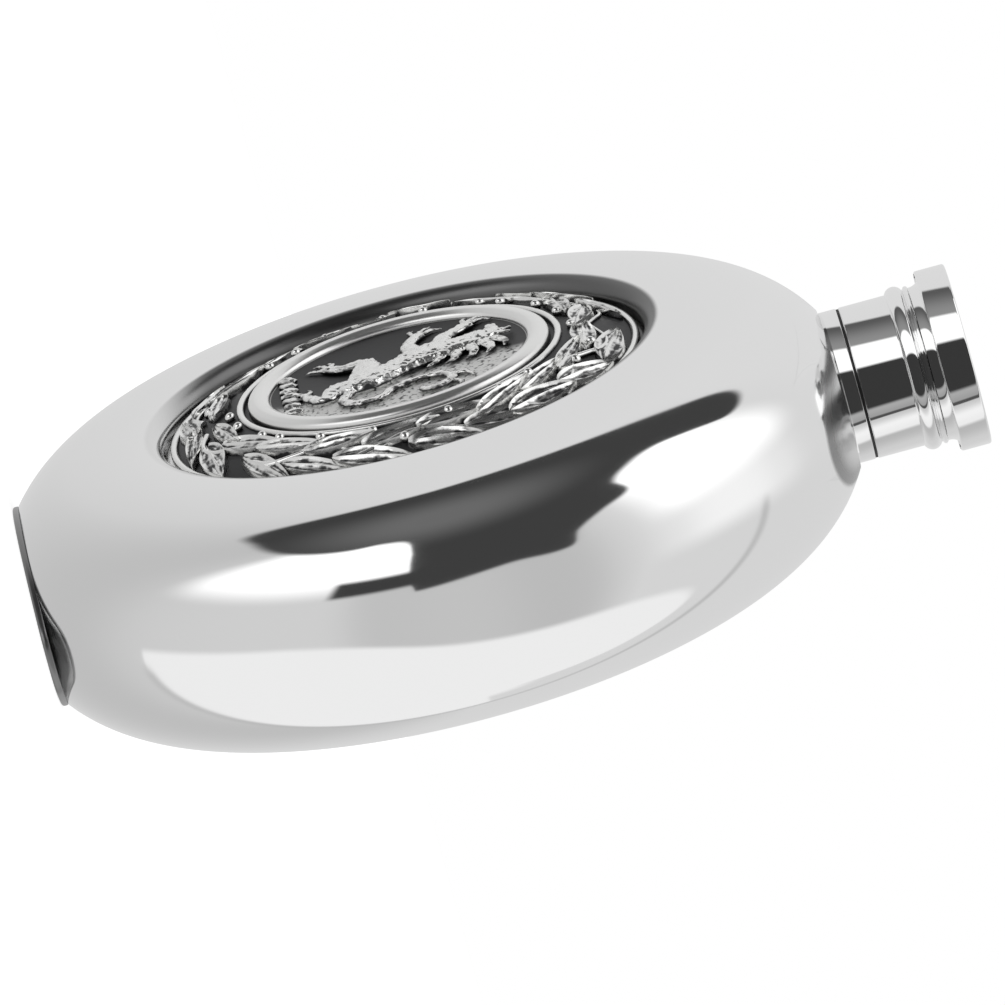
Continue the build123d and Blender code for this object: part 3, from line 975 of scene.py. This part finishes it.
# %% Lay a flat model on the badge
def lay(obj, centre=(0, 0), turn=0.0, lift=0.0, size=(1.0, 1.0), base=ground):
    """Lays a flat model on the badge: its x and y go into the badge's plane, its z stands over the ground."""
    for vertex in obj.data.vertices:
        across, along, up = vertex.co.x * size[0], vertex.co.y * size[1], vertex.co.z
        u = centre[0] + across * cos(turn) - along * sin(turn)
        w = centre[1] + across * sin(turn) + along * cos(turn)
        vertex.co = (u, -(base(hypot(u, w)) + up + lift), disc_z + w)


print("ground at the middle", round(ground(0) / MM, 2), "mm")

# %% [markdown]
# ## One leaf
# A leaf is a grid drawn in to a leaf's outline, with a raised edge, a midrib and veins. It is made once and copied.
# Where it stands up it is marked as worn, and the pewter reads that mark.

# %% One leaf, made once
def bell(offset, width):
    """A smooth bump, 1 where offset is 0."""
    return 2.718 ** -((offset / width) ** 2)


# drawn one unit long, with its true height: laying it sets its true length and width
bpy.ops.object.select_all(action="DESELECT")
bpy.ops.mesh.primitive_grid_add(x_subdivisions=40, y_subdivisions=16, size=2)
leaf = bpy.context.object
leaf.name = "leaf"
wear_and_shade = leaf.data.attributes.new("wear_and_shade", "FLOAT", "POINT")
for vertex, wear_and_shade_here in zip(leaf.data.vertices, wear_and_shade.data):
    along, across = (vertex.co.x + 1) / 2, vertex.co.y
    half_width = 0.19 * sin(pi * along**0.75) ** 0.85 if 0 < along < 1 else 0.0
    outline_ridge, midrib = bell(abs(across) - 0.86, 0.11), bell(across, 0.12)
    veins = 0.5 + 0.5 * cos(2 * pi * (1.5 * along - 2.6 * abs(across)))
    tall = (0.22 + 0.34 * outline_ridge + 0.34 * midrib + 0.08 * veins * (1 - midrib)) * MM
    wear_and_shade_here.value = min(1.0, 0.30 + 0.9 * outline_ridge + 0.7 * midrib + 0.35 * veins**2)
    if abs(across) > 0.99 or not 0 < along < 1:
        tall, wear_and_shade_here.value = -0.5 * MM, 0.05
    vertex.co = (along - 0.5, across * half_width, tall)
edit(leaf)
weld(0.0001)
bpy.ops.mesh.select_all(action="SELECT")
bpy.ops.mesh.extrude_region_move(TRANSFORM_OT_translate={"value": (0, 0, -0.6 * MM)})
face_outwards()
done()
print("leaf:", len(leaf.data.polygons), "faces")


# %% [markdown]
# ## Copies, joins and strokes
# What repeats is copied with its own mesh, and what belongs together is joined into one piece. Stems and limbs are
# strokes: a curve with a thickness at each point, turned into a mesh whose end caps are welded on.

# %% Copy, join and stroke
def twin(source, name):
    """A copy with its own mesh."""
    copy = bpy.data.objects.new(name, source.data.copy())
    bpy.context.collection.objects.link(copy)
    return copy


def joined(parts, name):
    bpy.ops.object.select_all(action="DESELECT")
    for part in parts:
        part.select_set(True)
    bpy.context.view_layer.objects.active = parts[0]
    bpy.ops.object.join()
    parts[0].name = parts[0].data.name = name
    return parts[0]


def stroke(points):
    """A tube through points (x, y, thickness, height), all in mm, with thin round ends."""
    curve = bpy.data.curves.new("stroke", "CURVE")
    curve.dimensions, curve.bevel_depth, curve.bevel_resolution, curve.resolution_u = "3D", MM, 3, 6
    curve.use_fill_caps = True
    line = curve.splines.new("BEZIER")
    line.bezier_points.add(len(points) - 1)
    for point, (x, y, thick, tall) in zip(line.bezier_points, points):
        point.co, point.radius = (x * MM, y * MM, tall * MM), thick
        point.handle_left_type = point.handle_right_type = "AUTO"
    obj = bpy.data.objects.new("stroke", curve)
    bpy.context.collection.objects.link(obj)
    only(obj)
    bpy.ops.object.convert(target="MESH")
    obj = bpy.context.object
    edit(obj)
    weld(0.001 * MM)
    done()
    return obj


print("stroke tools ready")

# %% [markdown]
# ## Wreath
# Leaves run in two rows up both sides of the badge, each a little off its neighbour in place, turn and size. The
# chance is seeded, so the wreath comes out the same every time.

# %% Leaves of the wreath
chance = random.Random(7)
parts = []
stations = 10
rows = ((25.0, 0.14, 9.6), (21.6, -0.16, 9.0))
for side in (1, -1):
    for i in range(stations):
        for row, (radius, slant, length) in enumerate(rows):
            swing = radians(-86 + (172 / stations) * (i + 0.3 + 0.45 * row)) + chance.uniform(-0.05, 0.05)
            centre = (side * radius * MM * cos(swing), radius * MM * sin(swing))
            heading = swing + pi / 2 - slant + chance.uniform(-0.2, 0.2)
            heading = heading if side > 0 else pi - heading
            one = twin(leaf, "leaf_copy")
            long, wide = length * chance.uniform(0.88, 1.12), length * chance.uniform(0.66, 0.98)
            lay(one, centre, heading, chance.uniform(0.0, 0.5) * MM, (long * MM, wide * MM))
            parts.append(one)
drop(leaf)
print(len(parts), "leaves")

# %% [markdown]
# ## Stems and berries
# Five short stems climb each side between the leaves, and the berries are small balls half sunk in the ground.

# %% Stems and berries
for side in (1, -1):
    for first in range(5):
        start = -84 + 34 * first
        points = []
        for k in range(7):
            swing = radians(start + 6.5 * k)
            radius = 23.2 + 1.3 * sin(k * 1.1 + first)
            points.append((side * radius * cos(swing), radius * sin(swing), 0.38 - 0.04 * k, 0.25))
        stem = stroke(points)
        lay(stem)
        parts.append(stem)
bpy.ops.object.select_all(action="DESELECT")
bpy.ops.mesh.primitive_uv_sphere_add(segments=14, ring_count=9, radius=0.6 * MM)
berry = bpy.context.object
berries = 24
for i in range(berries):
    swing = 2 * pi * (i + chance.uniform(-0.25, 0.25)) / berries
    radius = chance.choice((20.0, 20.3, 22.9)) * MM
    one = twin(berry, "berry_copy")
    lay(one, (radius * cos(swing), radius * sin(swing)), 0.0, 0.35 * MM)
    parts.append(one)
drop(berry)
wreath = joined(parts, "wreath")
edit(wreath)
face_outwards()
done()
smooth(wreath, 50)
finished(wreath, pewter, "flask", "pewter")

# %% [markdown]
# ## Beast
# The beast is sketched in strokes, as a modeller lays rolls of clay: body, neck and head first, then the mane, the
# legs with their claws and the tail. Each point is across, along, thickness and height, in millimetres.

# %% Strokes of the beast
strokes = [
    # hips to chest, then neck, head, muzzle and jaw
    [(3.2, -5.6, 1.6, 0.6), (2.4, -3.4, 2.5, 0.8), (0.8, -0.4, 2.0, 0.8), (-0.8, 2.8, 2.5, 1.0),
     (-1.4, 5.0, 2.2, 1.1)],
    [(-0.6, 4.2, 2.2, 1.0), (-1.2, 7.4, 1.9, 1.1), (-2.0, 9.6, 1.6, 1.2), (-2.6, 10.6, 0.9, 1.2)],
    [(-2.0, 9.9, 1.2, 1.3), (-3.8, 10.3, 0.85, 1.1), (-5.2, 10.2, 0.5, 0.9)],
    [(-2.2, 8.9, 0.8, 1.0), (-3.8, 8.5, 0.55, 0.8), (-4.8, 8.6, 0.3, 0.7)],
    # ears and a crest of mane locks down the back of the neck
    [(-1.6, 10.6, 0.6, 1.4), (-1.3, 12.2, 0.2, 1.2)],
    [(-2.3, 10.8, 0.5, 1.4), (-2.6, 12.4, 0.2, 1.2)],
    [(-0.6, 10.2, 0.7, 1.2), (1.2, 11.4, 0.5, 0.9), (2.4, 11.2, 0.15, 0.7)],
    [(-0.2, 9.0, 0.8, 1.2), (1.9, 9.8, 0.55, 0.9), (3.4, 9.2, 0.15, 0.7)],
    [(0.0, 7.6, 0.8, 1.2), (2.2, 8.0, 0.6, 0.9), (3.6, 7.0, 0.15, 0.7)],
    [(0.2, 6.2, 0.8, 1.2), (2.2, 6.0, 0.6, 0.9), (3.4, 4.8, 0.15, 0.7)],
    [(0.4, 4.8, 0.8, 1.1), (2.0, 4.0, 0.5, 0.9), (2.8, 2.8, 0.15, 0.7)],
    [(-2.0, 7.4, 0.7, 1.5), (-2.9, 6.4, 0.45, 1.3), (-2.7, 5.2, 0.15, 1.0)],
    [(-1.2, 6.6, 0.7, 1.8), (-1.6, 5.0, 0.45, 1.7), (-0.9, 3.8, 0.15, 1.4)],
    # upper and lower forelegs
    [(-1.6, 4.8, 1.5, 1.2), (-4.4, 5.0, 1.1, 1.1), (-6.4, 6.6, 0.8, 0.9), (-7.8, 8.2, 0.85, 0.9)],
    [(-7.7, 8.1, 0.45, 1.0), (-8.5, 9.6, 0.3, 0.8), (-8.2, 10.6, 0.12, 0.5)],
    [(-7.9, 8.0, 0.45, 1.0), (-9.4, 8.9, 0.3, 0.8), (-9.8, 9.8, 0.12, 0.5)],
    [(-7.9, 7.8, 0.45, 1.0), (-9.6, 7.6, 0.3, 0.8), (-10.6, 8.2, 0.12, 0.5)],
    [(-1.6, 3.0, 1.3, 0.9), (-4.6, 1.6, 1.0, 0.9), (-6.8, 1.8, 0.75, 0.8), (-8.6, 3.0, 0.8, 0.8)],
    [(-8.5, 3.0, 0.42, 0.9), (-9.4, 4.4, 0.3, 0.7), (-9.2, 5.4, 0.12, 0.5)],
    [(-8.6, 2.9, 0.42, 0.9), (-10.2, 3.4, 0.3, 0.7), (-10.9, 4.3, 0.12, 0.5)],
    [(-8.6, 2.7, 0.42, 0.9), (-10.2, 2.0, 0.3, 0.7), (-11.2, 2.4, 0.12, 0.5)],
    # near hind leg, raised forward
    [(1.8, -3.6, 2.1, 0.9), (-1.2, -3.2, 1.7, 1.1), (-3.6, -3.4, 1.1, 1.0), (-3.9, -5.6, 0.8, 0.9),
     (-5.4, -7.2, 0.8, 0.8)],
    [(-5.3, -7.1, 0.42, 0.9), (-7.0, -6.6, 0.3, 0.7), (-7.9, -7.2, 0.12, 0.5)],
    [(-5.4, -7.2, 0.42, 0.9), (-7.0, -7.8, 0.3, 0.7), (-7.6, -8.6, 0.12, 0.5)],
    [(-5.2, -7.4, 0.42, 0.9), (-6.0, -8.7, 0.3, 0.7), (-6.2, -9.7, 0.12, 0.5)],
    # far hind leg, standing on the bar
    [(3.2, -4.8, 2.0, 0.7), (2.6, -6.8, 1.3, 0.8), (4.6, -8.2, 0.8, 0.7), (3.0, -9.6, 0.75, 0.7),
     (1.4, -10.0, 0.6, 0.6)],
    [(1.6, -9.8, 0.4, 0.8), (0.2, -9.4, 0.28, 0.6), (-0.6, -9.9, 0.12, 0.4)],
    [(1.6, -10.1, 0.4, 0.8), (0.4, -10.5, 0.28, 0.6), (-0.2, -11.0, 0.12, 0.4)],
    # tail, swung up in an S, with its tuft
    [(4.4, -5.4, 0.7, 0.8), (7.4, -6.2, 0.62, 0.8), (8.9, -3.4, 0.6, 0.8), (6.8, -0.8, 0.58, 0.8),
     (5.8, 2.2, 0.58, 0.8), (7.2, 4.9, 0.64, 0.8), (9.7, 4.5, 0.64, 0.8), (10.0, 2.2, 0.5, 0.8),
     (8.5, 1.8, 0.25, 0.7)],
    [(7.0, 4.4, 0.4, 0.6), (7.6, 6.6, 0.4, 0.6), (9.4, 7.6, 0.12, 0.4)],
    [(9.0, 4.6, 0.4, 0.6), (10.4, 6.0, 0.35, 0.6), (11.2, 5.8, 0.12, 0.4)],
    # brow and eye
    [(-2.6, 10.4, 0.35, 2.0), (-3.2, 10.2, 0.3, 1.9)],
]
print(len(strokes), "strokes")

# %% [markdown]
# ## Melting the strokes together
# The rolls and a twisted bar under the feet are joined, pressed flatter the higher they stand, and melted into one
# skin by a voxel remesh. A cloud texture then roughens it like fur. The wear is marked last, by height, with a
# painted highlight where the skin faces up and painted shade on its sides, and the whole is laid on the field.

# %% Beast and twisted bar
GROW = 1.1
strokes = [[(x * GROW, y * GROW, thick * GROW, tall) for x, y, thick, tall in points] for points in strokes]
bar_length, bar_twists, bar_height = 14.0, 7, -12.7
for i in range(bar_twists):
    middle = -bar_length / 2 + bar_length * (i + 0.5) / bar_twists
    low_end, high_end = (middle - 0.55, bar_height - 0.95, 0.5, 0.3), (middle + 0.55, bar_height + 0.95, 0.5, 0.3)
    strokes.append([low_end, (middle, bar_height, 0.85, 0.6), high_end])
parts = [stroke(points) for points in strokes]
beast = joined(parts, "beast")
# pressed flatter the higher it stands, as relief is
HIGHEST = 2.9 * MM
for vertex in beast.data.vertices:
    tall = vertex.co.z * 0.58 - 0.1 * MM
    vertex.co.z = HIGHEST * (1 - exp(-tall / HIGHEST))
apply(beast, "REMESH", mode="VOXEL", voxel_size=0.11 * MM)
apply(beast, "SMOOTH", factor=0.5, iterations=1)
# fur: a cloud texture pushes the skin in and out along its normals
grain_of_fur = bpy.data.textures.new("fur", "CLOUDS")
grain_of_fur.noise_scale, grain_of_fur.noise_depth = 0.75 * MM, 2
apply(beast, "DISPLACE", texture=grain_of_fur, strength=0.34 * MM, mid_level=0.55, texture_coords="LOCAL")
wear_and_shade = beast.data.attributes.new("wear_and_shade", "FLOAT", "POINT")
# wear by height, plus a painted highlight where the skin faces up, so that its sides stay darker as painted shade
for vertex, wear_and_shade_here in zip(beast.data.vertices, wear_and_shade.data):
    wear_and_shade_here.value = min(1.0, max(0.03, 0.12 + 0.5 * max(0.0, vertex.normal.z) + 0.30 * vertex.co.z / MM))
lay(beast)
edit(beast)
face_outwards()
done()
smooth(beast, 60)
finished(beast, pewter, "flask", "pewter")
print("beast height", round(max(-v.co.y for v in beast.data.vertices) / MM, 2), "mm")

# %% [markdown]
# ## Threaded parts
# The spout and the cap's insert keep the CAD's own threads. A copy of each is merged, because the CAD node is loose
# triangles that could only be shaded flat. The washer and the glue keep their CAD shapes and only get a finish.

# %% Spout, cap insert, washer and glue
spout = copy_of_node("neck_spout", "spout")
smooth(spout, 30)
finished(spout, steel, "flask", "polished_steel", "neck_spout")
insert = copy_of_node("cap_liner", "cap_insert")
smooth(insert, 30)
finished(insert, plastic, "cap", "black_plastic", "cap_liner")
for name, paint_on in (("cap_washer", silicone), ("badge_pad", adhesive)):
    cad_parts[name].data.materials.clear()
    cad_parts[name].data.materials.append(paint_on)
    print(name, "finished in", paint_on.name)
